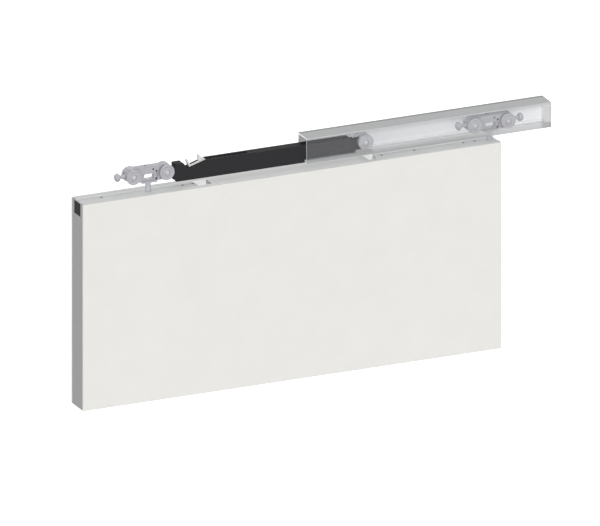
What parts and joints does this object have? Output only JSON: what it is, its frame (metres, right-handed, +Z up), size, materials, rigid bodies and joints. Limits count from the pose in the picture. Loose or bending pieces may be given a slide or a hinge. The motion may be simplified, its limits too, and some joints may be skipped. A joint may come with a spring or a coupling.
{
  "type": "pocket door sliding gear on a display panel",
  "caption": "Top track with a clear front wall, wheeled trolleys, a soft-close damper with its catch and a short hung door panel: the sliding gear of a pocket door.",
  "frame": {"origin": "middle of the track's top face, where the track is fixed to the lintel or pocket head", "axes": "+X along the track towards the end that is not cut away, +Y to the back, +Z up"},
  "size_m": [0.707, 0.04, 0.346],
  "materials": {
    "track_aluminium": "satin anodised extrusion",
    "clear_front": "clear display wall",
    "white_facing": "off-white lacquered board",
    "board_core": "raw particle board",
    "head_timber": "primed timber",
    "grey_edging": "matt edge band",
    "rail_aluminium": "mill finish extrusion",
    "black_plug": "moulded black plastic",
    "bright_steel": "zinc plated",
    "cast_grey": "grey die casting",
    "nylon_grey": "moulded grey nylon",
    "damper_black": "moulded black plastic",
    "damper_light": "moulded light grey plastic"
  },
  "bodies": {
    "track": {"track_channel": "track_aluminium", "track_front_wall": "clear_front"},
    "door": {"door_core": "board_core", "head_rail": "head_timber", "head_front_lath": "head_timber", "head_back_lath": "head_timber", "head_filler": "head_timber", "front_facing": "white_facing", "back_facing": "white_facing", "left_edging": "grey_edging", "right_edging": "grey_edging", "bottom_edging": "grey_edging", "left_hanger_rail": "rail_aluminium", "left_end_plug": "black_plug", "left_slide_nut": "bright_steel", "left_hanger_bolt": "bright_steel", "left_trolley_body": "cast_grey", "left_trolley_left_axle": "bright_steel", "left_trolley_left_buffer": "nylon_grey", "left_trolley_right_axle": "bright_steel", "left_trolley_right_buffer": "nylon_grey", "right_hanger_rail": "rail_aluminium", "right_end_plug": "black_plug", "right_slide_nut": "bright_steel", "right_hanger_bolt": "bright_steel", "right_trolley_body": "cast_grey", "right_trolley_left_axle": "bright_steel", "right_trolley_left_buffer": "nylon_grey", "right_trolley_right_axle": "bright_steel", "right_trolley_right_buffer": "nylon_grey", "damper_housing": "damper_black", "damper_end_bracket": "damper_black", "roller_axle": "bright_steel"},
    "left_trolley_left_front_wheel": {"left_trolley_left_front_wheel": "nylon_grey"},
    "left_trolley_left_back_wheel": {"left_trolley_left_back_wheel": "nylon_grey"},
    "left_trolley_right_front_wheel": {"left_trolley_right_front_wheel": "nylon_grey"},
    "left_trolley_right_back_wheel": {"left_trolley_right_back_wheel": "nylon_grey"},
    "right_trolley_left_front_wheel": {"right_trolley_left_front_wheel": "nylon_grey"},
    "right_trolley_left_back_wheel": {"right_trolley_left_back_wheel": "nylon_grey"},
    "right_trolley_right_front_wheel": {"right_trolley_right_front_wheel": "nylon_grey"},
    "right_trolley_right_back_wheel": {"right_trolley_right_back_wheel": "nylon_grey"},
    "roller_front_wheel": {"roller_front_wheel": "nylon_grey"},
    "roller_back_wheel": {"roller_back_wheel": "nylon_grey"},
    "carriage": {"catch_carriage": "damper_black", "catch_pin": "bright_steel"},
    "catch": {"damper_catch": "damper_light"}
  },
  "joints": [
    {"name": "door_slide", "type": "slide", "parent": "track", "child": "door", "axis": [1, 0, 0], "range_m": [-0.08, 0.03]},
    {"name": "left_trolley_left_front_spin", "type": "hinge", "parent": "door", "child": "left_trolley_left_front_wheel", "pos_m": [-0.4415, 0, -0.0207], "axis": [0, 1, 0], "continuous": true},
    {"name": "left_trolley_left_back_spin", "type": "hinge", "parent": "door", "child": "left_trolley_left_back_wheel", "pos_m": [-0.4415, 0, -0.0207], "axis": [0, 1, 0], "continuous": true},
    {"name": "left_trolley_right_front_spin", "type": "hinge", "parent": "door", "child": "left_trolley_right_front_wheel", "pos_m": [-0.3915, 0, -0.0207], "axis": [0, 1, 0], "continuous": true},
    {"name": "left_trolley_right_back_spin", "type": "hinge", "parent": "door", "child": "left_trolley_right_back_wheel", "pos_m": [-0.3915, 0, -0.0207], "axis": [0, 1, 0], "continuous": true},
    {"name": "right_trolley_left_front_spin", "type": "hinge", "parent": "door", "child": "right_trolley_left_front_wheel", "pos_m": [0.0723, 0, -0.0207], "axis": [0, 1, 0], "continuous": true},
    {"name": "right_trolley_left_back_spin", "type": "hinge", "parent": "door", "child": "right_trolley_left_back_wheel", "pos_m": [0.0723, 0, -0.0207], "axis": [0, 1, 0], "continuous": true},
    {"name": "right_trolley_right_front_spin", "type": "hinge", "parent": "door", "child": "right_trolley_right_front_wheel", "pos_m": [0.1223, 0, -0.0207], "axis": [0, 1, 0], "continuous": true},
    {"name": "right_trolley_right_back_spin", "type": "hinge", "parent": "door", "child": "right_trolley_right_back_wheel", "pos_m": [0.1223, 0, -0.0207], "axis": [0, 1, 0], "continuous": true},
    {"name": "roller_front_spin", "type": "hinge", "parent": "door", "child": "roller_front_wheel", "pos_m": [-0.0921, 0, -0.0207], "axis": [0, 1, 0], "continuous": true},
    {"name": "roller_back_spin", "type": "hinge", "parent": "door", "child": "roller_back_wheel", "pos_m": [-0.0921, 0, -0.0207], "axis": [0, 1, 0], "continuous": true},
    {"name": "carriage_slide", "type": "slide", "parent": "door", "child": "carriage", "axis": [1, 0, 0], "range_m": [0, 0.05]},
    {"name": "catch_tilt", "type": "hinge", "parent": "carriage", "child": "catch", "pos_m": [-0.33416, 0, -0.01961], "axis": [0, 1, 0], "range_deg": [0, 17]}
  ],
  "couplings": [
    {"joint": "left_trolley_left_front_spin", "follows": "door_slide", "rad_per_m": 90.909},
    {"joint": "left_trolley_left_back_spin", "follows": "door_slide", "rad_per_m": 90.909},
    {"joint": "left_trolley_right_front_spin", "follows": "door_slide", "rad_per_m": 90.909},
    {"joint": "left_trolley_right_back_spin", "follows": "door_slide", "rad_per_m": 90.909},
    {"joint": "right_trolley_left_front_spin", "follows": "door_slide", "rad_per_m": 90.909},
    {"joint": "right_trolley_left_back_spin", "follows": "door_slide", "rad_per_m": 90.909},
    {"joint": "right_trolley_right_front_spin", "follows": "door_slide", "rad_per_m": 90.909},
    {"joint": "right_trolley_right_back_spin", "follows": "door_slide", "rad_per_m": 90.909},
    {"joint": "roller_front_spin", "follows": "door_slide", "rad_per_m": 90.909},
    {"joint": "roller_back_spin", "follows": "door_slide", "rad_per_m": 90.909}
  ]
}
